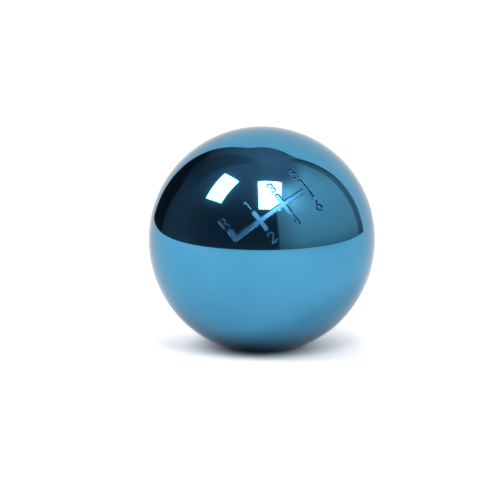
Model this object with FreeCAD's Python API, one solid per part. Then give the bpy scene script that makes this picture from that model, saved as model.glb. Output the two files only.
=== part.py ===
"""Round weighted gear-shift knob, 50 mm across, that screws onto a lever's M10 x 1.5 stud.

The knob is a solid stainless-steel ball with a small flat turned on its underside and a
blind bore up its axis. A steel threaded insert screws into the mouth of the bore, and four
keys driven down its sides lock it there. A six-speed gate pattern is engraved on the ball,
on the side that faces the driver.

Row frame: millimetres, +Z up along the bore. The origin is the centre of the flat that the
knob stands on, and -Y is the side that faces the driver.
"""

import FreeCAD
import Part

import math
import os

from FreeCAD import Vector

# Ball
BALL_RADIUS = 25.0
BASE_RADIUS = 8.2          # flat on the underside, before its edge is rounded
BASE_EDGE_RADIUS = 0.5
BALL_CENTRE_Z = math.sqrt(BALL_RADIUS**2 - BASE_RADIUS**2)

# Lever thread, M10 x 1.5, to the basic profile with 60 degree flanks
THREAD_PITCH = 1.5
THREAD_CREST_RADIUS = 4.25      # the 8.5 mm tap drill
THREAD_ROOT_RADIUS = 5.0
THREAD_ROOT_WIDTH = THREAD_PITCH / 8
FLANK_SLOPE = math.tan(math.radians(30))

# Threaded insert, M14 outside, drawn plain on its outer thread's major diameter
INSERT_RADIUS = 7.0
INSERT_LENGTH = 15.0
INSERT_RECESS = 0.3             # its face sits this far inside the ball's flat
INSERT_OUTER_CHAMFER = 0.5
INSERT_BOTTOM_Z = INSERT_RECESS
INSERT_TOP_Z = INSERT_RECESS + INSERT_LENGTH
LEAD_IN_RADIUS = 5.4            # 45 degree lead-in at each end of the lever thread

# Locking keys
KEY_COUNT = 4
KEY_WIDTH = 1.4
KEY_LENGTH = 5.0
KEY_INNER_RADIUS = 6.2
KEY_OUTER_RADIUS = 7.5
KEY_TIP_CHAMFER = 0.5

# Bore in the ball
MOUTH_CHAMFER = 0.3
TAPPED_DEPTH = INSERT_TOP_Z + 1.0
TAP_DRILL_RADIUS = 6.25
BORE_DEPTH = 29.0
DRILL_POINT_HALF_ANGLE = math.radians(59)

# Engraved gate pattern
MARK_DEPTH = 0.35
MARK_LATITUDE = math.radians(22.5)
MARK_AZIMUTH = math.radians(5.3)     # from -Y towards +X
MARK_TILT = math.radians(34.8)       # its baseline climbs to the right
GATE_COLUMNS = 4
GATE_SPACING = 6.2
GATE_HALF_HEIGHT = 2.1
GATE_STROKE = 1.2
DIGIT_HEIGHT = 2.1
DIGIT_WIDTH = 1.2
DIGIT_STROKE = 0.45
DIGIT_GAP = 0.55

PARTS_FOLDER = "parts"


def polar(radius, angle):
    """A 2-D point at that radius and angle in degrees."""
    return (radius * math.cos(math.radians(angle)), radius * math.sin(math.radians(angle)))


def profile_point(radius, z):
    """A point of a turned profile, drawn in the XZ plane."""
    return Vector(radius, 0, z)


def turned(edges):
    """The solid that a closed XZ profile sweeps about the Z axis."""
    face = Part.Face(Part.Wire(Part.__sortEdges__(edges)))
    return face.revolve(Vector(0, 0, 0), Vector(0, 0, 1), 360)


def lines_through(points):
    """Straight edges joining the points in order."""
    return [Part.makeLine(a, b) for a, b in zip(points, points[1:])]


def key_block(inner, outer, bottom, top):
    """A block as wide as a key, reaching out along +X."""
    return Part.makeBox(
        outer - inner, KEY_WIDTH, top - bottom, Vector(inner, -KEY_WIDTH / 2, bottom)
    )


def key_angles():
    """The keys stand midway between the X and Y axes."""
    return [360 / KEY_COUNT * (n + 0.5) for n in range(KEY_COUNT)]


def turned_to(shape, angle):
    """A copy of the shape, turned about Z by that many degrees."""
    copy = shape.copy()
    copy.rotate(Vector(0, 0, 0), Vector(0, 0, 1), angle)
    return copy


# --- Engraving: strokes with round ends, in the mark's own plane -------------------------

def straight_stroke(start, end, width):
    """A slot-shaped face along a straight line."""
    ax, ay = start
    bx, by = end
    length = math.hypot(bx - ax, by - ay)
    half = width / 2
    nx, ny = -(by - ay) / length * half, (bx - ax) / length * half
    ux, uy = (bx - ax) / length * half, (by - ay) / length * half
    left_a, left_b = Vector(ax + nx, ay + ny, 0), Vector(bx + nx, by + ny, 0)
    right_a, right_b = Vector(ax - nx, ay - ny, 0), Vector(bx - nx, by - ny, 0)
    outline = [
        Part.makeLine(left_a, left_b),
        Part.Arc(left_b, Vector(bx + ux, by + uy, 0), right_b).toShape(),
        Part.makeLine(right_b, right_a),
        Part.Arc(right_a, Vector(ax - ux, ay - uy, 0), left_a).toShape(),
    ]
    return Part.Face(Part.Wire(outline))


def curved_stroke(centre, radius, start, end, width):
    """A slot-shaped face along an arc that runs anticlockwise from start to end degrees."""
    cx, cy = centre
    half = width / 2

    def at(r, angle):
        x, y = polar(r, angle)
        return Vector(cx + x, cy + y, 0)

    def cap(angle, outward):
        x, y = polar(radius, angle)
        tx, ty = polar(half * outward, angle + 90)
        return Vector(cx + x + tx, cy + y + ty, 0)

    middle = (start + end) / 2
    outer, inner = radius + half, radius - half
    outline = [
        Part.Arc(at(outer, start), at(outer, middle), at(outer, end)).toShape(),
        Part.Arc(at(outer, end), cap(end, 1), at(inner, end)).toShape(),
        Part.Arc(at(inner, end), at(inner, middle), at(inner, start)).toShape(),
        Part.Arc(at(inner, start), cap(start, -1), at(outer, start)).toShape(),
    ]
    return Part.Face(Part.Wire(outline))


# Each glyph is ("line", start, end) and ("arc", centre, radius, start, end) strokes, in shares
# of its height, with its lower left corner at 0, 0.
WIDE = DIGIT_WIDTH / DIGIT_HEIGHT
BOWL = WIDE / 2
GLYPHS = {
    "1": [
        ("line", (BOWL, 0), (BOWL, 1)),
        ("line", (BOWL, 1), (0.06, 0.78)),
    ],
    "2": [
        ("arc", (BOWL, 1 - BOWL), BOWL, -35, 170),
        ("line", (BOWL + BOWL * 0.819, 1 - BOWL * 1.574), (0, 0)),
        ("line", (0, 0), (WIDE, 0)),
    ],
    "3": [
        ("arc", (BOWL, 0.745), 0.255, -90, 155),
        ("arc", (BOWL, 0.245), 0.245, -155, 90),
    ],
    "4": [
        ("line", (0.8 * WIDE, 0), (0.8 * WIDE, 1)),
        ("line", (0.8 * WIDE, 1), (0, 0.3)),
        ("line", (0, 0.3), (1.05 * WIDE, 0.3)),
    ],
    "5": [
        ("line", (0.95 * WIDE, 1), (0.1 * WIDE, 1)),
        ("line", (0.1 * WIDE, 1), (0.06 * WIDE, 0.56)),
        ("arc", (BOWL * 0.9, 0.31), 0.31, -140, 127),
    ],
    "6": [
        ("arc", (BOWL, BOWL), BOWL, 0, 180),
        ("arc", (BOWL, BOWL), BOWL, 180, 360),
        ("line", (0.05 * WIDE, 0.42), (0.75 * WIDE, 1)),
    ],
    "R": [
        ("line", (0, 0), (0, 1)),
        ("line", (0, 1), (BOWL, 1)),
        ("arc", (BOWL, 0.755), 0.245, -90, 90),
        ("line", (BOWL, 0.51), (0, 0.51)),
        ("line", (BOWL * 0.9, 0.51), (WIDE, 0)),
    ],
}


def glyph(name, centre):
    """The strokes of one digit, centred on a point."""
    left = centre[0] - DIGIT_WIDTH / 2
    bottom = centre[1] - DIGIT_HEIGHT / 2

    def place(point):
        return (left + point[0] * DIGIT_HEIGHT, bottom + point[1] * DIGIT_HEIGHT)

    strokes = []
    for kind, *numbers in GLYPHS[name]:
        if kind == "line":
            start, end = numbers
            strokes.append(straight_stroke(place(start), place(end), DIGIT_STROKE))
        else:
            middle, radius, start, end = numbers
            strokes.append(
                curved_stroke(place(middle), radius * DIGIT_HEIGHT, start, end, DIGIT_STROKE)
            )
    return strokes


def gate_pattern():
    """The gate's slots and the number at each end: reverse, then 1-2, 3-4 and 5-6."""
    columns = [GATE_SPACING * (n - (GATE_COLUMNS - 1) / 2) for n in range(GATE_COLUMNS)]
    number_y = GATE_HALF_HEIGHT + GATE_STROKE / 2 + DIGIT_GAP + DIGIT_HEIGHT / 2
    faces = [straight_stroke((columns[0], 0), (columns[-1], 0), GATE_STROKE)]
    for x, above, below in zip(columns, "R135", (None, "2", "4", "6")):
        foot = -GATE_HALF_HEIGHT if below else 0
        faces.append(straight_stroke((x, foot), (x, GATE_HALF_HEIGHT), GATE_STROKE))
        faces += glyph(above, (x, number_y))
        if below:
            faces += glyph(below, (x, -number_y))
    return faces


def mark_placement():
    """Puts the mark's plane on the ball: its Z along the ball's normal, its X along the baseline."""
    flat_on_front = FreeCAD.Rotation(Vector(1, 0, 0), 90)
    tilted = FreeCAD.Rotation(Vector(0, 0, 1), math.degrees(MARK_TILT))
    raised = FreeCAD.Rotation(Vector(1, 0, 0), -math.degrees(MARK_LATITUDE))
    swung = FreeCAD.Rotation(Vector(0, 0, 1), math.degrees(MARK_AZIMUTH))
    turn = swung.multiply(raised).multiply(flat_on_front).multiply(tilted)
    return FreeCAD.Placement(Vector(0, 0, BALL_CENTRE_Z), turn)


def mark_cutter():
    """What the engraving takes out of the ball: the strokes, down to an even depth below its skin."""
    near, far = 0.8 * BALL_RADIUS, 1.1 * BALL_RADIUS
    prisms = []
    for face in gate_pattern():
        face.translate(Vector(0, 0, near))
        prisms.append(face.extrude(Vector(0, 0, far - near)))
    cutter = prisms[0].multiFuse(prisms[1:]).removeSplitter()
    cutter.Placement = mark_placement()
    core = Part.makeSphere(BALL_RADIUS - MARK_DEPTH, Vector(0, 0, BALL_CENTRE_Z))
    return cutter.cut(core)


# --- Sub-parts ----------------------------------------------------------------------------

def knob_ball():
    """The ball, its flat, its stepped blind bore, the key slots and the engraving."""
    centre = profile_point(0, BALL_CENTRE_Z)
    edge_centre = profile_point(
        math.sqrt(
            (BALL_RADIUS - BASE_EDGE_RADIUS) ** 2 - (BALL_CENTRE_Z - BASE_EDGE_RADIUS) ** 2
        ),
        BASE_EDGE_RADIUS,
    )
    outward = (edge_centre - centre).normalize()
    flat_end = profile_point(edge_centre.x, 0)
    skin_start = centre + outward * BALL_RADIUS
    edge_middle = (flat_end + skin_start) * 0.5
    edge_middle = edge_centre + (edge_middle - edge_centre).normalize() * BASE_EDGE_RADIUS
    pole = profile_point(0, BALL_CENTRE_Z + BALL_RADIUS)
    equator = profile_point(BALL_RADIUS, BALL_CENTRE_Z)
    bore = [
        pole,
        profile_point(0, BORE_DEPTH + TAP_DRILL_RADIUS / math.tan(DRILL_POINT_HALF_ANGLE)),
        profile_point(TAP_DRILL_RADIUS, BORE_DEPTH),
        profile_point(TAP_DRILL_RADIUS, TAPPED_DEPTH + INSERT_RADIUS - TAP_DRILL_RADIUS),
        profile_point(INSERT_RADIUS, TAPPED_DEPTH),
        profile_point(INSERT_RADIUS, MOUTH_CHAMFER),
        profile_point(INSERT_RADIUS + MOUTH_CHAMFER, 0),
        flat_end,
    ]
    skin = [
        Part.Arc(flat_end, edge_middle, skin_start).toShape(),
        Part.Arc(skin_start, equator, pole).toShape(),
    ]
    ball = turned(lines_through(bore) + skin)
    slot = key_block(KEY_INNER_RADIUS, KEY_OUTER_RADIUS, 0, INSERT_BOTTOM_Z + KEY_LENGTH)
    slots = [turned_to(slot, angle) for angle in key_angles()]
    return ball.cut(slots).cut(mark_cutter())


def lever_thread():
    """The helical groove of the lever thread, running out past both ends of the insert."""
    run_out = THREAD_PITCH
    inner_radius = THREAD_CREST_RADIUS - 0.2
    half_root = THREAD_ROOT_WIDTH / 2
    half_mouth = half_root + (THREAD_ROOT_RADIUS - inner_radius) * FLANK_SLOPE
    start = INSERT_BOTTOM_Z - run_out
    corners = [
        profile_point(inner_radius, start - half_mouth),
        profile_point(THREAD_ROOT_RADIUS, start - half_root),
        profile_point(THREAD_ROOT_RADIUS, start + half_root),
        profile_point(inner_radius, start + half_mouth),
    ]
    section = Part.makePolygon(corners + corners[:1])
    helix = Part.makeLongHelix(THREAD_PITCH, INSERT_LENGTH + 2 * run_out, THREAD_ROOT_RADIUS)
    helix.translate(Vector(0, 0, start))
    return Part.Wire(helix.Edges).makePipeShell([section], True, True)


def thread_insert():
    """The bush that holds the lever thread, with a lead-in at each end and grooves for the keys."""
    lead_in = LEAD_IN_RADIUS - THREAD_CREST_RADIUS
    outer = INSERT_RADIUS - INSERT_OUTER_CHAMFER
    corners = [
        profile_point(LEAD_IN_RADIUS, INSERT_BOTTOM_Z),
        profile_point(outer, INSERT_BOTTOM_Z),
        profile_point(INSERT_RADIUS, INSERT_BOTTOM_Z + INSERT_OUTER_CHAMFER),
        profile_point(INSERT_RADIUS, INSERT_TOP_Z - INSERT_OUTER_CHAMFER),
        profile_point(outer, INSERT_TOP_Z),
        profile_point(LEAD_IN_RADIUS, INSERT_TOP_Z),
        profile_point(THREAD_CREST_RADIUS, INSERT_TOP_Z - lead_in),
        profile_point(THREAD_CREST_RADIUS, INSERT_BOTTOM_Z + lead_in),
    ]
    bush = turned(lines_through(corners + corners[:1]))
    groove = key_block(
        KEY_INNER_RADIUS, KEY_OUTER_RADIUS, INSERT_BOTTOM_Z, INSERT_BOTTOM_Z + KEY_LENGTH
    )
    grooves = [turned_to(groove, angle) for angle in key_angles()]
    return bush.cut(grooves).cut(lever_thread())


def lock_key():
    """One key, lying along +X, with its upper end chamfered to lead into its groove."""
    block = key_block(
        KEY_INNER_RADIUS, KEY_OUTER_RADIUS, INSERT_BOTTOM_Z, INSERT_BOTTOM_Z + KEY_LENGTH
    )
    top = INSERT_BOTTOM_Z + KEY_LENGTH
    leading = [
        edge
        for edge in block.Edges
        if all(abs(v.Z - top) < 1e-6 and v.X > KEY_OUTER_RADIUS - 1e-6 for v in edge.Vertexes)
    ]
    return block.makeChamfer(KEY_TIP_CHAMFER, leading)


def main():
    nodes = {"knob_ball": knob_ball(), "thread_insert": thread_insert()}
    for number, angle in enumerate(key_angles(), start=1):
        nodes[f"lock_key_{number}"] = turned_to(lock_key(), angle)
    os.makedirs(PARTS_FOLDER, exist_ok=True)
    for name, shape in nodes.items():
        shape.exportStep(os.path.join(PARTS_FOLDER, name + ".step"))
        box = shape.BoundBox
        print(
            f"{name}: valid {shape.isValid()}, {len(shape.Solids)} solid, "
            f"{shape.Volume:.1f} mm3, z {box.ZMin:.2f} to {box.ZMax:.2f}"
        )


main()
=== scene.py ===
"""The looks of a round weighted gear-shift knob: blue mirror-polished steel, engraved with a gate.

The frame is the part's own: +Z up the bore, the origin at the centre of the flat that it stands
on, -Y towards the driver. Lengths and places named below are millimetres, and become metres
where they become mesh, a light or a shader number, by MM.
"""

import math

import bmesh
import bpy
import numpy as np
from mathutils import Matrix, Vector
from mathutils.geometry import delaunay_2d_cdt


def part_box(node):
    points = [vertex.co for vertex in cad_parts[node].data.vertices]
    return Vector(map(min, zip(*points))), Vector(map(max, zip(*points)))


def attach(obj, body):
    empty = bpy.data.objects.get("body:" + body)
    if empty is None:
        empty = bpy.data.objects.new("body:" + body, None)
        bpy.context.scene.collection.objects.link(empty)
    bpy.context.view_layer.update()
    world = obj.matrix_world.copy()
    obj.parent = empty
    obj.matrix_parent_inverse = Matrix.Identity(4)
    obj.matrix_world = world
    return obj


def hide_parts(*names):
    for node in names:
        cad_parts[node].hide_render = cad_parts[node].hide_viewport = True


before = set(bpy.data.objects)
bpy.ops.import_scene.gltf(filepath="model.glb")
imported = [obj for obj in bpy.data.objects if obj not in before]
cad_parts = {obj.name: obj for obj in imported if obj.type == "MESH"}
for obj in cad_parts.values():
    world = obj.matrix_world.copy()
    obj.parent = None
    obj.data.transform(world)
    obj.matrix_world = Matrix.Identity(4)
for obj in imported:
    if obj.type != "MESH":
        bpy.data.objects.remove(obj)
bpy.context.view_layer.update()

MM = 0.001

# --- Sizes, as in the CAD -----------------------------------------------------------------
BALL_RADIUS = 25.0
BASE_RADIUS = 8.2
BASE_EDGE_RADIUS = 0.5
BALL_CENTRE = np.array([0.0, 0.0, math.sqrt(BALL_RADIUS**2 - BASE_RADIUS**2)])

insert_low, insert_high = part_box("thread_insert")
INSERT_BOTTOM = insert_low.z / MM
INSERT_TOP = insert_high.z / MM
INSERT_RADIUS = 7.0
INSERT_CHAMFER = 0.5
LEAD_IN_RADIUS = 5.4
THREAD_PITCH = 1.5
THREAD_CREST_RADIUS = 4.25
THREAD_ROOT_RADIUS = 5.0
THREAD_ROOT_WIDTH = THREAD_PITCH / 8
FLANK_SLOPE = math.tan(math.radians(30))

KEY_COUNT = 4
KEY_WIDTH = 1.4
KEY_LENGTH = 5.0
KEY_INNER_RADIUS = 6.2
KEY_OUTER_RADIUS = 7.5
KEY_TIP_CHAMFER = 0.5

MOUTH_CHAMFER = 0.3
TAPPED_DEPTH = INSERT_TOP + 1.0
TAP_DRILL_RADIUS = 6.25
BORE_DEPTH = 29.0
DRILL_POINT_HALF_ANGLE = math.radians(59)

MARK_DEPTH = 0.35
MARK_LATITUDE = math.radians(22.5)
MARK_AZIMUTH = math.radians(5.3)
MARK_TILT = math.radians(34.8)
GATE_COLUMNS = 4
GATE_SPACING = 6.2
GATE_HALF_HEIGHT = 2.1
GATE_STROKE = 1.2
DIGIT_HEIGHT = 2.1
DIGIT_WIDTH = 1.2
DIGIT_STROKE = 0.45
DIGIT_GAP = 0.55

# --- How finely the pieces are meshed -----------------------------------------------------
SEGMENTS = 256               # round the lathe-turned underside and bore
SKIN_SPACING = 0.7           # between points of the plain skin
OUTLINE_SPACING = 0.09       # along an engraved outline
WALL_WIDTH = 0.2             # how far a gate slot's wall leans in, from the skin to its floor
DIGIT_WALL_WIDTH = 0.11      # the same, for a digit
WALL_STEPS = (0.0, 0.12, 0.3, 0.5, 0.7, 0.88, 1.0)
CLEAR_OF_OUTLINE = 0.14      # plain skin points keep this mark_distance from an outline
OUTLINE_TOLERANCE = 1e-5     # how far off its level a point of an outline may be
NORMAL_STEP = 1e-4           # between the points that a wall's slope is measured from
SAME_POINT = 1e-7            # metres within which the bush's points are merged
EDGE_TURNS = 9               # points along the rounding between skin and flat
THREAD_STEPS = (2, 7, 2, 7, 2)   # rows over crest, flank, root, flank and crest
INSERT_SEGMENTS = 144        # round the insert and its thread
KEY_CLEARANCE = 0.02         # between a key and its groove, on each side
KEY_EDGE_RADIUS = 0.06


def new_piece(name, points, faces):
    """A mesh object from points in millimetres."""
    mesh = bpy.data.meshes.new(name)
    mesh.from_pydata((np.asarray(points, float) * MM).tolist(), [], faces)
    piece = bpy.data.objects.new(name, mesh)
    bpy.context.scene.collection.objects.link(piece)
    return piece


# --- The mark's own plane -----------------------------------------------------------------
# Its origin is the point of the skin that the mark is centred on, NORMAL leaves the ball there,
# BASELINE runs along the mark from left to right, and UPRIGHT is square to both.

NORMAL = np.array([
    math.sin(MARK_AZIMUTH) * math.cos(MARK_LATITUDE),
    -math.cos(MARK_AZIMUTH) * math.cos(MARK_LATITUDE),
    math.sin(MARK_LATITUDE),
])
LEVEL = np.array([math.cos(MARK_AZIMUTH), math.sin(MARK_AZIMUTH), 0.0])
CLIMB = np.cross(NORMAL, LEVEL)
BASELINE = math.cos(MARK_TILT) * LEVEL + math.sin(MARK_TILT) * CLIMB
UPRIGHT = np.cross(NORMAL, BASELINE)


def stroke_line(start, end, width):
    return {"kind": "line", "start": np.array(start), "end": np.array(end), "width": width}


def stroke_arc(centre, radius, first, last, width):
    """An arc that runs anticlockwise from its first angle to its last, in degrees."""
    return {
        "kind": "arc",
        "centre": np.array(centre),
        "radius": radius,
        "first": math.radians(first),
        "last": math.radians(last),
        "width": width,
    }


# Each glyph's strokes, in shares of its height, with its lower left corner at 0, 0
WIDE = DIGIT_WIDTH / DIGIT_HEIGHT
BOWL = WIDE / 2
GLYPHS = {
    "1": [
        ("line", (BOWL, 0), (BOWL, 1)),
        ("line", (BOWL, 1), (0.06, 0.78)),
    ],
    "2": [
        ("arc", (BOWL, 1 - BOWL), BOWL, -35, 170),
        ("line", (BOWL + BOWL * 0.819, 1 - BOWL * 1.574), (0, 0)),
        ("line", (0, 0), (WIDE, 0)),
    ],
    "3": [
        ("arc", (BOWL, 0.745), 0.255, -90, 155),
        ("arc", (BOWL, 0.245), 0.245, -155, 90),
    ],
    "4": [
        ("line", (0.8 * WIDE, 0), (0.8 * WIDE, 1)),
        ("line", (0.8 * WIDE, 1), (0, 0.3)),
        ("line", (0, 0.3), (1.05 * WIDE, 0.3)),
    ],
    "5": [
        ("line", (0.95 * WIDE, 1), (0.1 * WIDE, 1)),
        ("line", (0.1 * WIDE, 1), (0.06 * WIDE, 0.56)),
        ("arc", (BOWL * 0.9, 0.31), 0.31, -140, 127),
    ],
    "6": [
        ("arc", (BOWL, BOWL), BOWL, 0, 180),
        ("arc", (BOWL, BOWL), BOWL, 180, 360),
        ("line", (0.05 * WIDE, 0.42), (0.75 * WIDE, 1)),
    ],
    "R": [
        ("line", (0, 0), (0, 1)),
        ("line", (0, 1), (BOWL, 1)),
        ("arc", (BOWL, 0.755), 0.245, -90, 90),
        ("line", (BOWL, 0.51), (0, 0.51)),
        ("line", (BOWL * 0.9, 0.51), (WIDE, 0)),
    ],
}


def glyph(name, centre):
    """The strokes of one digit, centred on a point of the mark's plane."""
    corner = np.array(centre) - np.array([DIGIT_WIDTH, DIGIT_HEIGHT]) / 2

    def place(point):
        return corner + np.array(point) * DIGIT_HEIGHT

    strokes = []
    for kind, *numbers in GLYPHS[name]:
        if kind == "line":
            start, end = numbers
            strokes.append(stroke_line(place(start), place(end), DIGIT_STROKE))
        else:
            middle, radius, first, last = numbers
            strokes.append(
                stroke_arc(place(middle), radius * DIGIT_HEIGHT, first, last, DIGIT_STROKE)
            )
    return strokes


def gate_pattern():
    """The gate's slots and the number at each end: reverse, then 1-2, 3-4 and 5-6."""
    columns = [GATE_SPACING * (n - (GATE_COLUMNS - 1) / 2) for n in range(GATE_COLUMNS)]
    number_y = GATE_HALF_HEIGHT + GATE_STROKE / 2 + DIGIT_GAP + DIGIT_HEIGHT / 2
    strokes = [stroke_line((columns[0], 0), (columns[-1], 0), GATE_STROKE)]
    for x, above, below in zip(columns, "R135", (None, "2", "4", "6")):
        foot = -GATE_HALF_HEIGHT if below else 0
        strokes.append(stroke_line((x, foot), (x, GATE_HALF_HEIGHT), GATE_STROKE))
        strokes += glyph(above, (x, number_y))
        if below:
            strokes += glyph(below, (x, -number_y))
    return strokes


STROKES = gate_pattern()


def distance_to_line(points, start, end):
    along = end - start
    share = np.clip((points - start) @ along / (along @ along), 0, 1)
    return np.linalg.norm(points - start - share[:, None] * along, axis=1)


def arc_point(stroke, angle):
    return stroke["centre"] + stroke["radius"] * np.array([math.cos(angle), math.sin(angle)])


def distance_to_arc(points, stroke):
    offset = points - stroke["centre"]
    middle = (stroke["first"] + stroke["last"]) / 2
    half = (stroke["last"] - stroke["first"]) / 2
    turn = np.arctan2(offset[:, 1], offset[:, 0]) - middle
    turn = (turn + math.pi) % (2 * math.pi) - math.pi
    beside = np.abs(np.linalg.norm(offset, axis=1) - stroke["radius"])
    ends = [
        np.linalg.norm(points - arc_point(stroke, stroke[end]), axis=1)
        for end in ("first", "last")
    ]
    return np.where(np.abs(turn) <= half, beside, np.minimum(*ends))


def wall_width(stroke):
    """How far a stroke's wall leans in: less for a digit, so that its thin floor stays open."""
    return DIGIT_WALL_WIDTH if stroke["width"] == DIGIT_STROKE else WALL_WIDTH


def mark_distance(points):
    """How far each point of the mark's plane is outside the engraving, negative inside it.

    It is stretched near the digits, so that it is -WALL_WIDTH at the foot of their walls too.
    """
    nearest = np.full(len(points), np.inf)
    for stroke in STROKES:
        if stroke["kind"] == "line":
            distance = distance_to_line(points, stroke["start"], stroke["end"])
        else:
            distance = distance_to_arc(points, stroke)
        outside = distance - stroke["width"] / 2
        nearest = np.minimum(nearest, outside * WALL_WIDTH / wall_width(stroke))
    return nearest


def centre_line(stroke):
    """Points along the middle of a stroke, and the direction across it at each."""
    if stroke["kind"] == "line":
        along = stroke["end"] - stroke["start"]
        length = np.linalg.norm(along)
        share = np.linspace(0, 1, math.ceil(length / OUTLINE_SPACING) + 1)[:, None]
        across = np.array([-along[1], along[0]]) / length
        return stroke["start"] + share * along, np.repeat(across[None], len(share), axis=0)
    length = stroke["radius"] * (stroke["last"] - stroke["first"])
    angles = np.linspace(
        stroke["first"], stroke["last"], math.ceil(length / OUTLINE_SPACING) + 1
    )
    across = -np.stack([np.cos(angles), np.sin(angles)], axis=1)
    return stroke["centre"] - stroke["radius"] * across, across


def offset_outline(stroke, level):
    """Points round a stroke, at a distance outside its edge: two sides and two round ends."""
    reach = stroke["width"] / 2 + level
    middle, across = centre_line(stroke)
    rings = [middle + reach * across, middle - reach * across]
    round_steps = max(6, math.ceil(math.pi * stroke["width"] / 2 / OUTLINE_SPACING))
    turns = np.linspace(0, math.pi, round_steps + 1)
    for end, sign in ((0, 1), (-1, -1)):
        side = sign * across[end]
        back = np.array([-side[1], side[0]])
        rings.append(
            middle[end] + reach * (np.cos(turns)[:, None] * side + np.sin(turns)[:, None] * back)
        )
    return np.concatenate(rings)


def engraved_outlines():
    """Points of the whole mark's outline, repeated down its wall from the skin to the floor."""
    found = []
    for step in WALL_STEPS:
        for stroke in STROKES:
            points = offset_outline(stroke, -step * wall_width(stroke))
            on_outline = np.abs(mark_distance(points) + step * WALL_WIDTH) < OUTLINE_TOLERANCE
            found.append(points[on_outline])
    return np.concatenate(found)


def wall_share(distance):
    return np.clip(-distance / WALL_WIDTH, 0, 1)


def depth_at(distance):
    """The engraving's depth, easing from the skin down a steep wall into the floor."""
    share = wall_share(distance)
    return MARK_DEPTH * share**2 * (3 - 2 * share)


def depth_slope(distance):
    share = wall_share(distance)
    return -MARK_DEPTH / WALL_WIDTH * 6 * share * (1 - share)


# --- The ball -----------------------------------------------------------------------------

def in_mark_plane(directions):
    """Where directions from the ball's centre meet the skin, seen square to the mark."""
    return BALL_RADIUS * np.stack([directions @ BASELINE, directions @ UPRIGHT], axis=1)


def distance_on_skin(directions):
    """mark_distance for directions from the ball's centre, with the far side out of reach."""
    far = directions @ NORMAL < 0.5
    return np.where(far, BALL_RADIUS, mark_distance(in_mark_plane(directions)))


def skin_normals(points):
    """The skin's exact outward directions at points on it, engraved walls included."""
    directions = points - BALL_CENTRE
    directions /= np.linalg.norm(directions, axis=1)[:, None]
    distance = distance_on_skin(directions)
    slope = depth_slope(distance)
    tilt = np.zeros_like(directions)
    step = NORMAL_STEP
    for axis in (BASELINE, UPRIGHT):
        ahead = distance_on_skin(directions + axis * step / BALL_RADIUS)
        behind = distance_on_skin(directions - axis * step / BALL_RADIUS)
        surface_axis = axis - (directions @ axis)[:, None] * directions
        tilt += ((ahead - behind) / (2 * step) * slope)[:, None] * surface_axis
    normals = directions + tilt
    return normals / np.linalg.norm(normals, axis=1)[:, None]


def base_edge():
    """The centre of the rounding between skin and flat, and the last skin point before it."""
    across = math.sqrt(
        (BALL_RADIUS - BASE_EDGE_RADIUS) ** 2 - (BALL_CENTRE[2] - BASE_EDGE_RADIUS) ** 2
    )
    outward = np.array([across, BASE_EDGE_RADIUS - BALL_CENTRE[2]])
    outward *= BALL_RADIUS / np.linalg.norm(outward)
    return (across, BASE_EDGE_RADIUS), (outward[0], outward[1] + BALL_CENTRE[2])


def ring(angle_from_top, count, turned):
    """Directions round the ball, at one angle from its top."""
    turns = (np.arange(count) + turned) * 2 * math.pi / count
    across = math.sin(angle_from_top)
    up = np.full(count, math.cos(angle_from_top))
    return np.stack([across * np.cos(turns), across * np.sin(turns), up], axis=1)


def skin_directions():
    """Directions of all the skin's points. The ring where the base edge starts comes last."""
    _, (edge_radius, edge_z) = base_edge()
    last_angle = math.atan2(edge_radius, edge_z - BALL_CENTRE[2])
    ring_count = math.ceil(last_angle * BALL_RADIUS / SKIN_SPACING)
    rings = [np.array([[0.0, 0.0, 1.0]])]
    for number in range(1, ring_count):
        angle = last_angle * number / ring_count
        around = 2 * math.pi * BALL_RADIUS * math.sin(angle)
        rings.append(ring(angle, max(6, round(around / SKIN_SPACING)), number % 2 / 2))
    plain = np.concatenate(rings)
    plain = plain[distance_on_skin(plain) > CLEAR_OF_OUTLINE]
    x, y = (engraved_outlines() / BALL_RADIUS).T
    front = np.sqrt(1 - x**2 - y**2)
    engraved = x[:, None] * BASELINE + y[:, None] * UPRIGHT + front[:, None] * NORMAL
    return np.concatenate([plain, engraved, ring(last_angle, SEGMENTS, 0)])


def skin_mesh():
    """The skin's points in millimetres and its triangles. The base edge's ring comes last.

    The skin is laid out flat by a stereographic projection from below, which keeps circles
    round, so that joining nearest neighbours there joins them on the ball too.
    """
    directions = skin_directions()
    flat = directions[:, :2] / (1 + directions[:, 2:])
    layout = delaunay_2d_cdt([Vector(p) for p in flat.tolist()], [], [], 0, 1e-8)
    _, _, triangles, sources, _, _ = layout
    same = [source[0] for source in sources]
    faces = [[same[corner] for corner in triangle] for triangle in triangles]
    depth = depth_at(distance_on_skin(directions))
    points = BALL_CENTRE + directions * (BALL_RADIUS - depth)[:, None]
    return points, faces


def underside_profile():
    """Radius and height down the base edge, over the flat and up the bore to the drill point."""
    (edge_x, edge_z), (skin_x, skin_z) = base_edge()
    start = math.atan2(skin_z - edge_z, skin_x - edge_x)
    turns = np.linspace(start, -math.pi / 2, EDGE_TURNS)[1:]
    profile = [
        (edge_x + BASE_EDGE_RADIUS * math.cos(t), edge_z + BASE_EDGE_RADIUS * math.sin(t))
        for t in turns
    ]
    profile += [
        (INSERT_RADIUS + MOUTH_CHAMFER, 0.0),
        (INSERT_RADIUS, MOUTH_CHAMFER),
        (INSERT_RADIUS, TAPPED_DEPTH),
        (TAP_DRILL_RADIUS, TAPPED_DEPTH + INSERT_RADIUS - TAP_DRILL_RADIUS),
        (TAP_DRILL_RADIUS, BORE_DEPTH),
    ]
    return profile


def turned_rings(profile, count):
    """Points of rings round Z, one for each radius and height."""
    turns = np.arange(count) * 2 * math.pi / count
    return np.concatenate([
        np.stack([r * np.cos(turns), r * np.sin(turns), np.full(count, z)], axis=1)
        for r, z in profile
    ])


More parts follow.
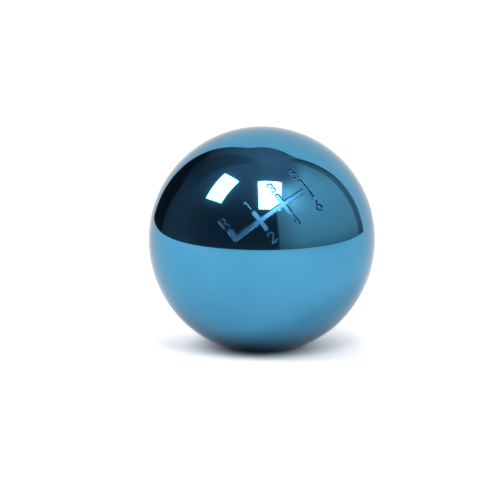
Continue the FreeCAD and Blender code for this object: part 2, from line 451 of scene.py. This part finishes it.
def ring_faces(first, second, count):
    """Quads between two rings of points, each given by its first point's number."""
    return [
        (first + i, second + i, second + (i + 1) % count, first + (i + 1) % count)
        for i in range(count)
    ]


def cut_key_slots(piece, low_z, high_z):
    """Cuts the key slots out of a piece, between two heights."""
    points, faces = [], []
    for angle in key_angles():
        low = Vector((KEY_INNER_RADIUS, -KEY_WIDTH / 2, low_z))
        high = Vector((KEY_OUTER_RADIUS, KEY_WIDTH / 2, high_z))
        turn = Matrix.Rotation(angle, 3, "Z")
        start = len(points)
        for z in (low.z, high.z):
            for x, y in ((low.x, low.y), (high.x, low.y), (high.x, high.y), (low.x, high.y)):
                points.append(turn @ Vector((x, y, z)))
        faces += [[start + n for n in (3, 2, 1, 0)], [start + n for n in (4, 5, 6, 7)]]
        faces += [
            [start + n for n in (a, (a + 1) % 4, (a + 1) % 4 + 4, a + 4)] for a in range(4)
        ]
    cutter = new_piece("slot_cutter", points, faces)
    modifier = piece.modifiers.new("slots", "BOOLEAN")
    modifier.operation = "DIFFERENCE"
    modifier.solver = "EXACT"
    modifier.object = cutter
    apply_modifiers(piece)
    bpy.data.objects.remove(cutter)


def apply_modifiers(piece):
    depsgraph = bpy.context.evaluated_depsgraph_get()
    mesh = bpy.data.meshes.new_from_object(piece.evaluated_get(depsgraph))
    piece.modifiers.clear()
    piece.data = mesh


def key_angles():
    """The keys stand midway between the X and Y axes."""
    return [2 * math.pi / KEY_COUNT * (n + 0.5) for n in range(KEY_COUNT)]


def smooth_but_for_edges(mesh, degrees):
    mesh.shade_smooth()
    mesh.set_sharp_from_angle(angle=math.radians(degrees))


def give_exact_normals(mesh):
    """Skin corners get the skin's exact directions, and the others keep their own."""
    count = len(mesh.vertices)
    points = np.zeros(count * 3)
    mesh.vertices.foreach_get("co", points)
    points = points.reshape(-1, 3) / MM
    _, (_, edge_z) = base_edge()
    from_centre = np.linalg.norm(points - BALL_CENTRE, axis=1)
    on_skin = (from_centre > BALL_RADIUS - MARK_DEPTH - 0.01) & (points[:, 2] > edge_z - 1e-3)
    exact = skin_normals(points)
    corner_vertex = np.zeros(len(mesh.loops), int)
    mesh.loops.foreach_get("vertex_index", corner_vertex)
    corners = np.zeros(len(mesh.loops) * 3)
    mesh.corner_normals.foreach_get("vector", corners)
    corners = corners.reshape(-1, 3)
    skin_corners = on_skin[corner_vertex]
    corners[skin_corners] = exact[corner_vertex[skin_corners]]
    mesh.normals_split_custom_set(corners.tolist())


def knob_ball():
    points, faces = skin_mesh()
    profile = underside_profile()
    edge_ring = len(points) - SEGMENTS
    first = len(points)
    points = np.concatenate([points, turned_rings(profile, SEGMENTS)])
    starts = [edge_ring] + [first + SEGMENTS * n for n in range(len(profile))]
    for upper, lower in zip(starts, starts[1:]):
        faces += ring_faces(upper, lower, SEGMENTS)
    tip_z = BORE_DEPTH + TAP_DRILL_RADIUS / math.tan(DRILL_POINT_HALF_ANGLE)
    tip = len(points)
    points = np.concatenate([points, [[0, 0, tip_z]]])
    last = starts[-1]
    faces += [(last + i, tip, last + (i + 1) % SEGMENTS) for i in range(SEGMENTS)]
    ball = new_piece("polished_ball", points, faces)
    bm = bmesh.new()
    bm.from_mesh(ball.data)
    loose = [v for v in bm.verts if not v.link_faces]
    bmesh.ops.delete(bm, geom=loose, context="VERTS")
    bm.to_mesh(ball.data)
    bm.free()
    cut_key_slots(ball, -1.0, INSERT_BOTTOM + KEY_LENGTH)
    smooth_but_for_edges(ball.data, 30)
    give_exact_normals(ball.data)
    return ball


# --- The threaded insert and its keys -----------------------------------------------------

def thread_rows():
    """Heights along one pitch of the lever thread, from mid-crest to mid-crest.

    The thread's groove is centred on 0, and each row runs along the helix at one height.
    """
    half_root = THREAD_ROOT_WIDTH / 2
    half_mouth = half_root + (THREAD_ROOT_RADIUS - THREAD_CREST_RADIUS) * FLANK_SLOPE
    corners = [-THREAD_PITCH / 2, -half_mouth, -half_root, half_root, half_mouth]
    corners.append(THREAD_PITCH / 2)
    spans = zip(corners, corners[1:], THREAD_STEPS)
    rows = [np.linspace(a, b, n, False) for a, b, n in spans]
    return np.concatenate(rows)


def thread_radius(height):
    """The basic 60 degree profile, at a height above the middle of its groove."""
    beyond_root = np.maximum(np.abs(height) - THREAD_ROOT_WIDTH / 2, 0)
    return np.maximum(THREAD_ROOT_RADIUS - beyond_root / FLANK_SLOPE, THREAD_CREST_RADIUS)


def thread_surface():
    """Points and faces of the lever thread, cut off flat by the insert's two ends.

    Each row joins, after a full turn, the row that is one pitch above it, so the grid is one
    long helical strip. Rows past the insert's ends are pressed flat into the end's edge.
    """
    one_pitch = thread_rows()
    pitches = math.ceil((INSERT_TOP - INSERT_BOTTOM) / THREAD_PITCH) + 3
    starts = INSERT_BOTTOM - THREAD_PITCH * 2 + THREAD_PITCH * np.arange(pitches)
    row_height = (starts[:, None] + one_pitch).ravel()
    row_radius = np.tile(thread_radius(one_pitch), pitches)
    turns = np.arange(INSERT_SEGMENTS) / INSERT_SEGMENTS
    z = row_height[:, None] + THREAD_PITCH * turns
    z = np.clip(z, INSERT_BOTTOM, INSERT_TOP)
    lead_in = LEAD_IN_RADIUS - np.minimum(z - INSERT_BOTTOM, INSERT_TOP - z)
    radius = np.maximum(row_radius[:, None], lead_in)
    angle = 2 * math.pi * turns
    points = np.stack([radius * np.cos(angle), radius * np.sin(angle), z], axis=2)
    faces = []
    for row in range(len(row_height) - len(one_pitch) - 1):
        for column in range(INSERT_SEGMENTS):
            here = row * INSERT_SEGMENTS + column
            beside = here + 1
            if column == INSERT_SEGMENTS - 1:
                beside = (row + len(one_pitch)) * INSERT_SEGMENTS
            faces.append((here, here + INSERT_SEGMENTS, beside + INSERT_SEGMENTS, beside))
    return points.reshape(-1, 3), faces


def thread_insert():
    """The bush: its thread, its two end faces and its plain outside, with the key grooves."""
    points, faces = thread_surface()
    outer = INSERT_RADIUS - INSERT_CHAMFER
    profile = [
        (LEAD_IN_RADIUS, INSERT_BOTTOM),
        (outer, INSERT_BOTTOM),
        (INSERT_RADIUS, INSERT_BOTTOM + INSERT_CHAMFER),
        (INSERT_RADIUS, INSERT_TOP - INSERT_CHAMFER),
        (outer, INSERT_TOP),
        (LEAD_IN_RADIUS, INSERT_TOP),
    ]
    first = len(points)
    points = np.concatenate([points, turned_rings(profile, INSERT_SEGMENTS)])
    for number in range(len(profile) - 1):
        lower = first + INSERT_SEGMENTS * number
        faces += ring_faces(lower + INSERT_SEGMENTS, lower, INSERT_SEGMENTS)
    bush = new_piece("threaded_bush", points, faces)
    bm = bmesh.new()
    bm.from_mesh(bush.data)
    bmesh.ops.remove_doubles(bm, verts=bm.verts, dist=SAME_POINT)
    bmesh.ops.dissolve_degenerate(bm, edges=bm.edges, dist=SAME_POINT)
    loose = [v for v in bm.verts if not v.link_faces]
    bmesh.ops.delete(bm, geom=loose, context="VERTS")
    bmesh.ops.recalc_face_normals(bm, faces=bm.faces)
    bm.to_mesh(bush.data)
    bm.free()
    cut_key_slots(bush, INSERT_BOTTOM - 1.0, INSERT_BOTTOM + KEY_LENGTH)
    smooth_but_for_edges(bush.data, 25)
    return bush


def lock_key(number, angle):
    """One key: a drawn bar with rounded edges, chamfered on the end that goes in first."""
    top = INSERT_BOTTOM + KEY_LENGTH - KEY_CLEARANCE
    inner = KEY_INNER_RADIUS + KEY_CLEARANCE
    outer = KEY_OUTER_RADIUS - KEY_CLEARANCE
    half = KEY_WIDTH / 2 - KEY_CLEARANCE
    side = [
        (inner, INSERT_BOTTOM),
        (outer, INSERT_BOTTOM),
        (outer, top - KEY_TIP_CHAMFER),
        (outer - KEY_TIP_CHAMFER, top),
        (inner, top),
    ]
    count = len(side)
    turn = Matrix.Rotation(angle, 3, "Z")
    points = [turn @ Vector((x, y, z)) for y in (-half, half) for x, z in side]
    faces = [tuple(range(count)), tuple(reversed(range(count, 2 * count)))]
    for n in range(count):
        after = (n + 1) % count
        faces.append((after, n, n + count, after + count))
    key = new_piece(f"locking_key_{number}", points, faces)
    bm = bmesh.new()
    bm.from_mesh(key.data)
    bmesh.ops.bevel(
        bm, geom=bm.edges, offset=KEY_EDGE_RADIUS * MM, segments=3, profile=0.5, affect="EDGES"
    )
    bmesh.ops.recalc_face_normals(bm, faces=bm.faces)
    bm.to_mesh(key.data)
    bm.free()
    smooth_but_for_edges(key.data, 40)
    return key


# --- Materials ----------------------------------------------------------------------------

COATING = (0.05, 0.222, 0.368)
COATING_THICKER = (0.054, 0.232, 0.378)
COATING_EDGE = (0.8, 0.73, 0.69)     # the colour that the coating turns to at a grazing angle
COATING_IN_MARK = (0.04, 0.155, 0.31)
WALL_PAINTED_SHADE = (0.016, 0.068, 0.115)  # painted shade: the engraving's steep walls are darkened as if shaded down in the recess
BARE_STEEL = (0.4, 0.39, 0.37)
TURNED_STEEL = (0.38, 0.375, 0.355)
# painted shade: the colour that the thread darkens to at its roots
THREAD_ROOT_SHADE = (0.13, 0.125, 0.11)
DRAWN_STEEL = (0.3, 0.295, 0.28)
DRAWN_STEEL_DARK = (0.2, 0.195, 0.18)
HAZE_ROUGHNESS = 0.2
POLISH_HAZE = 0.04                   # the share of the mirror's light that it scatters
POLISH_ROUGHNESS = (0.02, 0.05)
MARK_FLOOR_ROUGHNESS = (0.34, 0.42)
FLAT_ROUGHNESS = 0.16
BARE_ROUGHNESS = 0.34
HATCH_PITCH = 0.16                   # millimetres between the cutter's lines on the mark's floor
FLAT_RING_PITCH = 0.16
BORE_TOOL_PITCH = 0.22
INSERT_RING_PITCH = 0.12
OVER_BORE = 35.0                     # a height between the drill point's tip and the skin over it


class Shader:
    """A node material under construction, with one short call for each kind of step."""

    def __init__(self, name):
        self.material = bpy.data.materials.new(name)
        self.material.use_nodes = True
        self.nodes = self.material.node_tree.nodes
        self.links = self.material.node_tree.links
        self.nodes.clear()
        self.place = self.add("TexCoord").outputs["Object"]
        across = self.vector("MULTIPLY", self.place, (1.0, 1.0, 0.0))
        self.from_axis = self.length(across)
        self.height = self.length(self.vector("MULTIPLY", self.place, (0.0, 0.0, 1.0)))

    def add(self, kind, inputs=None, **settings):
        """A node, with each input set to a value or joined to another node's output."""
        node = self.nodes.new("ShaderNode" + kind)
        for name, value in settings.items():
            setattr(node, name, value)
        for name, value in (inputs or {}).items():
            if isinstance(value, bpy.types.NodeSocket):
                self.links.new(value, node.inputs[name])
            else:
                node.inputs[name].default_value = value
        return node

    def maths(self, operation, first, second=0.0):
        return self.add("Math", {0: first, 1: second}, operation=operation).outputs[0]

    def vector(self, operation, first, second):
        return self.add("VectorMath", {0: first, 1: second}, operation=operation).outputs[0]

    def length(self, vector):
        """A vector's length in millimetres."""
        metres = self.add("VectorMath", {0: vector}, operation="LENGTH").outputs["Value"]
        return self.maths("DIVIDE", metres, MM)

    def along(self, direction):
        """Millimetres along a direction."""
        inputs = {0: self.place, 1: tuple(direction)}
        metres = self.add("VectorMath", inputs, operation="DOT_PRODUCT").outputs["Value"]
        return self.maths("DIVIDE", metres, MM)

    def ramp(self, value, low, high, start=0.0, end=1.0):
        """Eases from start to end while the value goes from low to high."""
        inputs = {"Value": value, 1: low, 2: high, 3: start, 4: end}
        return self.add("MapRange", inputs, interpolation_type="SMOOTHSTEP").outputs[0]

    def within(self, value, limit, softness=0.05):
        """1 below the limit and 0 above it."""
        return self.ramp(value, limit - softness, limit + softness, 1.0, 0.0)

    def noise(self, size, detail=2.0, stretch=(1.0, 1.0, 1.0)):
        """Noise about 0.5, whose features are about size millimetres across."""
        scale = tuple(share / (size * MM) for share in stretch)
        inputs = {"Vector": self.vector("MULTIPLY", self.place, scale), "Scale": 1.0}
        inputs["Detail"] = detail
        return self.add("TexNoise", inputs).outputs[0]

    def lines(self, value, pitch):
        """Evenly spaced grooves: a wave from 0 to 1 of a value in millimetres."""
        wave = self.maths("SINE", self.maths("MULTIPLY", value, 2 * math.pi / pitch))
        return self.maths("MULTIPLY_ADD", wave, 0.5)

    def mix(self, share, first, second):
        """A number between two others."""
        return self.add("Mix", {0: share, 2: first, 3: second}).outputs[0]

    def colour_mix(self, share, first, second):
        inputs = {0: share}
        for slot, colour in ((6, first), (7, second)):
            inputs[slot] = (*colour, 1.0) if isinstance(colour, tuple) else colour
        return self.add("Mix", inputs, data_type="RGBA").outputs[2]

    def bump(self, height, depth, below=None):
        """Relief that many millimetres deep, on top of any relief already there."""
        inputs = {"Height": height, "Distance": depth * MM}
        if below:
            inputs["Normal"] = below
        return self.add("Bump", inputs).outputs[0]

    def metal(self, colour, roughness, normal, edge_tint=(1.0, 1.0, 1.0), haze=0.0):
        """Ends the material with a metal surface, a share of which is a wider, hazy gloss."""
        inputs = {"Metallic": 1.0, "Base Color": colour, "Roughness": roughness}
        inputs |= {"Normal": normal, "Specular Tint": (*edge_tint, 1.0)}
        surface = self.add("BsdfPrincipled", inputs)
        if haze:
            hazy = self.add("BsdfPrincipled", inputs | {"Roughness": HAZE_ROUGHNESS})
            surface = self.add("MixShader", {0: haze, 1: surface.outputs[0], 2: hazy.outputs[0]})
        self.add("OutputMaterial", {"Surface": surface.outputs[0]})
        return self.material


def hairlines(shader):
    """Faint polishing scratches a few millimetres long, in three directions."""
    total = 0.0
    for stretch in ((1.0, 0.04, 0.3), (0.3, 1.0, 0.04), (0.04, 0.3, 1.0)):
        from_middle = shader.maths("SUBTRACT", shader.noise(0.5, 1.0, stretch), 0.5)
        near = shader.within(shader.maths("ABSOLUTE", from_middle), 0.003, 0.002)
        total = shader.maths("ADD", near, total)
    return total


def blue_steel():
    """A mirror polish under a blue coating, a satin engraving with painted shade on its walls, a
    turned flat and a bare bore.
    """
    s = Shader("blue_steel")
    from_centre = s.length(s.vector("SUBTRACT", s.place, tuple(BALL_CENTRE * MM)))

    mark_floor = s.within(from_centre, BALL_RADIUS - 0.85 * MARK_DEPTH, 0.1 * MARK_DEPTH)
    # where the engraving's walls get their painted shade
    wall_shade_mask = s.within(from_centre, BALL_RADIUS - 0.1 * MARK_DEPTH, 0.05 * MARK_DEPTH)
    away_from_flat = s.ramp(s.from_axis, BASE_RADIUS + 0.4, BASE_RADIUS + 0.8)
    mark_floor = s.maths("MULTIPLY", mark_floor, away_from_flat)
    wall_shade_mask = s.maths("MULTIPLY", wall_shade_mask, away_from_flat)
    on_flat = s.within(s.height, 0.08)
    in_bore = s.within(s.from_axis, INSERT_RADIUS + 0.15)
    near_slot = s.within(s.from_axis, KEY_OUTER_RADIUS + 0.2)
    in_slot = s.maths("MULTIPLY", near_slot, s.ramp(s.height, 0.1, 0.2))
    below_skin = s.within(s.height, OVER_BORE)
    bare = s.maths("MULTIPLY", s.maths("MAXIMUM", in_bore, in_slot), below_skin)

    clouds = s.ramp(s.noise(9.0, 3.0), 0.35, 0.65)
    colour = s.colour_mix(clouds, COATING, COATING_THICKER)
    # painted shade on the engraving's steep walls
    colour = s.colour_mix(wall_shade_mask, colour, WALL_PAINTED_SHADE)
    colour = s.colour_mix(mark_floor, colour, COATING_IN_MARK)
    colour = s.colour_mix(bare, colour, BARE_STEEL)

    roughness = s.ramp(s.noise(6.0, 4.0), 0.45, 0.75, *POLISH_ROUGHNESS)
    satin = s.ramp(s.noise(0.15), 0.3, 0.7, *MARK_FLOOR_ROUGHNESS)
    roughness = s.mix(mark_floor, roughness, satin)
    roughness = s.mix(on_flat, roughness, FLAT_ROUGHNESS)
    roughness = s.mix(bare, roughness, BARE_ROUGHNESS)

    diagonal = s.lines(s.along(BASELINE + UPRIGHT), HATCH_PITCH)
    hatch = s.maths("MULTIPLY", diagonal, mark_floor)
    rings = s.maths("MULTIPLY", s.lines(s.from_axis, FLAT_RING_PITCH), on_flat)
    tool_marks = s.maths("MULTIPLY", s.lines(s.height, BORE_TOOL_PITCH), bare)
    relief = s.maths("ADD", hatch, s.maths("ADD", rings, tool_marks))
    normal = s.bump(relief, 0.003)
    normal = s.bump(s.noise(2.5, 1.0), 0.0004, normal)
    normal = s.bump(hairlines(s), 0.00006, normal)
    return s.metal(colour, roughness, normal, COATING_EDGE, POLISH_HAZE)


def turned_steel():
    """Plain satin steel, ringed by the lathe tool on its faces, with a patchy painted shade
    deepening down into the thread's roots.
    """
    s = Shader("turned_steel")
    near_thread = s.within(s.from_axis, THREAD_ROOT_RADIUS + 0.05, 0.02)
    in_thread = s.maths("MULTIPLY", near_thread, s.ramp(s.height, 0.5, 1.2))
    depth = s.ramp(s.from_axis, THREAD_CREST_RADIUS, THREAD_ROOT_RADIUS)
    # painted shade, patchy, deepening from the thread's crests to its roots
    root_shade = s.maths("MULTIPLY", s.maths("MULTIPLY", depth, in_thread), s.noise(1.5, 4.0))
    colour = s.colour_mix(root_shade, TURNED_STEEL, THREAD_ROOT_SHADE)
    roughness = s.ramp(s.noise(0.8, 4.0), 0.3, 0.7, 0.22, 0.36)
    rings = s.lines(s.from_axis, INSERT_RING_PITCH)
    uneven = s.noise(0.2, 2.0, (1.0, 1.0, 0.2))
    normal = s.bump(s.maths("MULTIPLY", rings, uneven), 0.012)
    return s.metal(colour, roughness, normal)


def drawn_steel():
    """Key steel, streaked lengthwise by the die that it was drawn through."""
    s = Shader("drawn_steel")
    streaks = s.noise(0.12, 3.0, (1.0, 1.0, 0.03))
    colour = s.colour_mix(s.ramp(streaks, 0.35, 0.65), DRAWN_STEEL, DRAWN_STEEL_DARK)
    roughness = s.ramp(s.noise(0.5, 4.0), 0.3, 0.7, 0.26, 0.42)
    return s.metal(colour, roughness, s.bump(streaks, 0.006))


# --- Studio -------------------------------------------------------------------------------
# Directions are seen from the ball's centre: an azimuth in degrees from the driver's side (-Y)
# towards +X, and an elevation in degrees. Strengths are radiances, where 1 is plain white.

FLOOR_RADIUS = 1.0                   # metres, like the room's size and the lights' distances
FLOOR_DROP = 0.02                    # millimetres, so that the knob's flat never meets it
FLOOR_WHITE = 0.85
BACKDROP_STRENGTH = 1.44
ROOM_SIZE = 6.0
ROOM_FOOT = -3.0                     # the room's walls end this far below the horizon
DIM_TINT = np.array([1.12, 0.93, 1.1])
ROOM_STRENGTH = 1.25
ROOM_AZIMUTH_STEP = 0.5              # degrees between the shell's columns
ROOM_ROWS = 91
FLOOR_RINGS = 24
FLOOR_UNDER_FLAT = 0.25              # how far the floor reaches in under the knob's flat
SOFTBOX_DISTANCE = 5.0
FLOOR_LIGHT_DISTANCE = 1.2           # near, so that the floor dims away from them
SOFTBOX_STRENGTH = 19.0              # as the polish mirrors it

# The white backdrop fills an opening behind the ball, in degrees, wider on its right
OPENING_TOP = 64.5
OPENING_LEFT = 30.5
OPENING_LEFT_POWER = 4
OPENING_RIGHT = 55.0
OPENING_RIGHT_POWER = 8


def heading(azimuth, elevation):
    """The unit vector of a direction, given in degrees as numbers or arrays."""
    azimuth, elevation = np.radians(azimuth), np.radians(elevation)
    across = np.cos(elevation)
    x, y, z = across * np.sin(azimuth), -across * np.cos(azimuth), np.sin(elevation)
    return np.stack(np.broadcast_arrays(x, y, z), axis=-1)


def ease(value, low, high):
    """0 below low, 1 above high, and a smooth rise between them."""
    share = np.clip((value - low) / (high - low), 0, 1)
    return share**2 * (3 - 2 * share)


def between(value, low, high, softness):
    """1 between low and high and 0 outside, with soft edges."""
    rise = ease(value, low - softness, low + softness)
    return rise * (1 - ease(value, high - softness, high + softness))


def backdrop_top(azimuth):
    """The elevation of the opening's edge, or the foot of the room's wall where there is none."""
    from_back = (azimuth + 360) % 360 - 180
    left = from_back > 0
    share = np.abs(from_back) / np.where(left, OPENING_LEFT, OPENING_RIGHT)
    power = np.where(left, OPENING_LEFT_POWER, OPENING_RIGHT_POWER)
    edge = OPENING_TOP * (1 - np.minimum(share, 1) ** power) ** (1 / power)
    return np.where(share < 1, edge, ROOM_FOOT)


# The room's light, in shares of ROOM_STRENGTH, and where its parts begin and end in degrees
CEILING_LEVEL = 0.297
CEILING_SWING = 0.053                # it is this much brighter towards CEILING_BRIGHTEST
CEILING_BRIGHTEST = 120
DIM_LEVEL = 0.05
LEFT_GLOW = 0.045                    # light on the left, low down
CURTAIN_LEVEL = 0.02
CURTAIN_LEFT = -165
CURTAIN_RIGHT = -121.5
CURTAIN_TOP = 38                     # it falls by CURTAIN_FALL a degree, right of CURTAIN_BEND
CURTAIN_FALL = 0.8
CURTAIN_BEND = -140
WALL_LEVEL = 0.38                    # at the horizon
WALL_RISE = 0.36                     # it brightens upwards by this, over about WALL_RISE_OVER
WALL_RISE_OVER = 9
HALO_LEVEL = 0.8                     # the right softbox's glow on the wall
HALO_AZIMUTH = 38
HALO_ELEVATION = 47
FRAME_DARKNESS = 0.85


def dim_light(azimuth, elevation):
    """The dim left side, its ceiling, a shaded patch and a black curtain at the back."""
    ceiling = CEILING_LEVEL + CEILING_SWING * np.cos(np.radians(azimuth - CEILING_BRIGHTEST))
    dim = DIM_LEVEL + (ceiling - DIM_LEVEL) * ease(elevation, 25, 85)
    dim = dim + LEFT_GLOW * between(azimuth, -124, -75, 24) * (1 - ease(elevation, 35, 60))
    dim = dim * (1 - 0.4 * between(azimuth, -138, -104, 5) * between(elevation, 35, 82, 8))
    curtain_top = CURTAIN_TOP - CURTAIN_FALL * np.maximum(azimuth - CURTAIN_BEND, 0)
    curtain = between(azimuth, CURTAIN_LEFT, CURTAIN_RIGHT, 1.5)
    curtain = curtain * (1 - ease(elevation - curtain_top, -2, 6))
    return dim + (CURTAIN_LEVEL - dim) * curtain


def wall_light(azimuth, elevation):
    """The pale right wall, with the softbox's glow, and darker beyond its corner."""
    wall = WALL_LEVEL + WALL_RISE * (1 - np.exp(-np.maximum(elevation, 0) / WALL_RISE_OVER))
    wall = wall + 0.1 * ease(elevation, 15, 45)
    aside = (azimuth - HALO_AZIMUTH) / 16
    above = (elevation - HALO_ELEVATION) / 12
    wall = wall + HALO_LEVEL * np.exp(-aside**2 - above**2)
    wall = wall * (1 - 0.35 * ease(azimuth, 90, 118) * ease(elevation, 30, 52))
    return wall * (1 - 0.55 * between(azimuth, 115.5, 127, 1.5))


def opening_frame(azimuth, elevation):
    """1 on the dark edge down both sides of the backdrop's opening, and 0 elsewhere."""
    top = backdrop_top(azimuth)
    from_front = np.abs(azimuth)
    sides = ease(from_front, 120, 124) * (1 - ease(from_front, 145, 160)) * (top > 0)
    rim = sides * (1 - ease(elevation - top, 0.5, 2.5))
    post = between(azimuth, 123, 126, 0.7) * between(elevation, 27, 66, 2)
    return np.maximum(rim, post)


def room_light(azimuth, elevation):
    """The room's colour in each direction: a dim left side and ceiling, and a pale right wall."""
    dim = dim_light(azimuth, elevation)
    wall = wall_light(azimuth, elevation)
    on_wall = 0.5 * ease(azimuth, 16, 19) + 0.5 * ease(azimuth, 18, 45)
    on_wall = on_wall * (1 - ease(elevation, 55, 69))
    darkness = FRAME_DARKNESS * opening_frame(azimuth, elevation)[..., None]
    dim, wall, on_wall = dim[..., None], wall[..., None], on_wall[..., None]
    return ROOM_STRENGTH * (1 - darkness) * (dim * DIM_TINT * (1 - on_wall) + wall * on_wall)


def room():
    """The dim room round the table. The camera doesn't see it, but the polish mirrors it."""
    azimuths = np.arange(-180, 180 + ROOM_AZIMUTH_STEP / 2, ROOM_AZIMUTH_STEP)
    rows = np.linspace(0, 1, ROOM_ROWS)[:, None]
    foot = backdrop_top(azimuths)
    elevations = foot + rows * (90 - foot)
    azimuths = np.broadcast_to(azimuths, elevations.shape)
    light = room_light(azimuths, elevations)
    points = heading(azimuths, elevations) * ROOM_SIZE / MM
    height, width = elevations.shape
    faces = [
        (row * width + n, row * width + n + 1, (row + 1) * width + n + 1, (row + 1) * width + n)
        for row in range(height - 1)
        for n in range(width - 1)
    ]
    shell = new_piece("studio_room", points.reshape(-1, 3), faces)
    colours = np.ones((light.size // 3, 4))
    colours[:, :3] = light.reshape(-1, 3)
    layer = shell.data.color_attributes.new("light", "FLOAT_COLOR", "POINT")
    layer.data.foreach_set("color", colours.ravel())
    s = Shader("studio_room")
    glow = s.add("Emission", {"Color": s.add("Attribute", attribute_name="light").outputs[0]})
    s.add("OutputMaterial", {"Surface": glow.outputs[0]})
    s.material.cycles.emission_sampling = "NONE"
    shell.data.materials.append(s.material)
    shell.visible_camera = False


def panel(name, distance, azimuth, elevation, width, height, strength, roll=0.0):
    """A rectangular light that faces the ball, with its sides in shares of its distance."""
    direction = Vector(heading(azimuth, elevation))
    lamp = bpy.data.lights.new(name, "AREA")
    lamp.shape = "RECTANGLE"
    lamp.size = width * distance
    lamp.size_y = height * distance
    lamp.energy = strength * math.pi * lamp.size * lamp.size_y
    light = bpy.data.objects.new(name, lamp)
    facing = direction.to_track_quat("Z", "Y").to_matrix()
    turned = facing @ Matrix.Rotation(math.radians(roll), 3, "Z")
    light.matrix_world = Matrix.Translation(direction * distance) @ turned.to_4x4()
    bpy.context.scene.collection.objects.link(light)
    return light


def softboxes():
    """The two softboxes, as the polish mirrors them. They are too bright to light the floor."""
    for name, *shape in (
        ("left_softbox", -66.7, 51.6, 0.325, 0.445, SOFTBOX_STRENGTH, 7),
        ("right_softbox", 12.5, 54.0, 0.37, 0.54, SOFTBOX_STRENGTH, -9),
    ):
        panel(name, SOFTBOX_DISTANCE, *shape).visible_diffuse = False


def floor_lights():
    """Dimmer panels that light the floor from where the room does, and aren't mirrored."""
    for name, *shape in (
        ("left_key", -68, 51.5, 0.34, 0.45, 10.4),
        ("right_key", 12, 55, 0.4, 0.5, 7.2),
        ("left_fill", -110, 18, 1.0, 0.7, 2.85),
        ("right_fill", 110, 18, 1.0, 0.7, 1.95),
        ("overhead_fill", 0, 89.9, 2.0, 2.0, 0.61),
    ):
        panel(name, FLOOR_LIGHT_DISTANCE, *shape).visible_glossy = False


def floor():
    """A round white table top. It is open under the knob's flat and clear from below, so that
    a view from underneath shows the knob's underside."""
    hole = BASE_RADIUS - FLOOR_UNDER_FLAT
    radii = np.geomspace(hole, FLOOR_RADIUS / MM, FLOOR_RINGS)
    points = turned_rings([(radius, -FLOOR_DROP) for radius in radii], SEGMENTS)
    faces = []
    for number in range(len(radii) - 1):
        outer = SEGMENTS * (number + 1)
        faces += ring_faces(outer - SEGMENTS, outer, SEGMENTS)
    top = new_piece("studio_floor", points, faces)
    s = Shader("studio_floor")
    tone = s.ramp(s.noise(40.0, 3.0), 0.3, 0.7, FLOOR_WHITE - 0.01, FLOOR_WHITE + 0.01)
    inputs = {"Base Color": tone, "Roughness": 0.7, "Specular IOR Level": 0.2}
    white = s.add("BsdfPrincipled", inputs)
    clear = s.add("BsdfTransparent")
    from_below = s.add("NewGeometry").outputs["Backfacing"]
    both = s.add("MixShader", {0: from_below, 1: white.outputs[0], 2: clear.outputs[0]})
    s.add("OutputMaterial", {"Surface": both.outputs[0]})
    top.data.materials.append(s.material)


def backdrop():
    world = bpy.data.worlds.new("studio_backdrop")
    world.use_nodes = True
    white = world.node_tree.nodes["Background"].inputs
    white["Color"].default_value = (1.0, 1.0, 1.0, 1.0)
    white["Strength"].default_value = BACKDROP_STRENGTH
    bpy.context.scene.world = world


# --- Camera -------------------------------------------------------------------------------

CAMERA_ELEVATION = 9.0
CAMERA_DISTANCE = 0.6
CAMERA_LENS = 196.5
AIM_LEFT = 2.6               # millimetres that the view's middle is left of the ball's centre
AIM_BELOW = 2.3


def camera():
    centre = Vector(BALL_CENTRE * MM)
    back = Vector(heading(0, CAMERA_ELEVATION))
    up = Vector(heading(180, 90 - CAMERA_ELEVATION))
    aim = centre - Vector((AIM_LEFT * MM, 0, 0)) - up * AIM_BELOW * MM
    place = centre + back * CAMERA_DISTANCE
    lens = bpy.data.cameras.new("camera")
    lens.lens = CAMERA_LENS
    lens.sensor_width = 36.0
    lens.clip_start = 0.01
    lens.clip_end = 100.0
    eye = bpy.data.objects.new("camera", lens)
    eye.location = place
    eye.rotation_euler = (aim - place).to_track_quat("-Z", "Y").to_euler()
    bpy.context.scene.collection.objects.link(eye)
    bpy.context.scene.camera = eye


# --- The knob -----------------------------------------------------------------------------

def finish_piece(piece, node, material):
    piece.data.materials.clear()
    piece.data.materials.append(material)
    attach(piece, "root")
    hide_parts(node)


def knob():
    finish_piece(knob_ball(), "knob_ball", blue_steel())
    finish_piece(thread_insert(), "thread_insert", turned_steel())
    key_steel = drawn_steel()
    for number, angle in enumerate(key_angles(), start=1):
        finish_piece(lock_key(number, angle), f"lock_key_{number}", key_steel)


knob()
floor()
room()
softboxes()
floor_lights()
backdrop()
camera()
bpy.context.scene.view_settings.view_transform = "Standard"
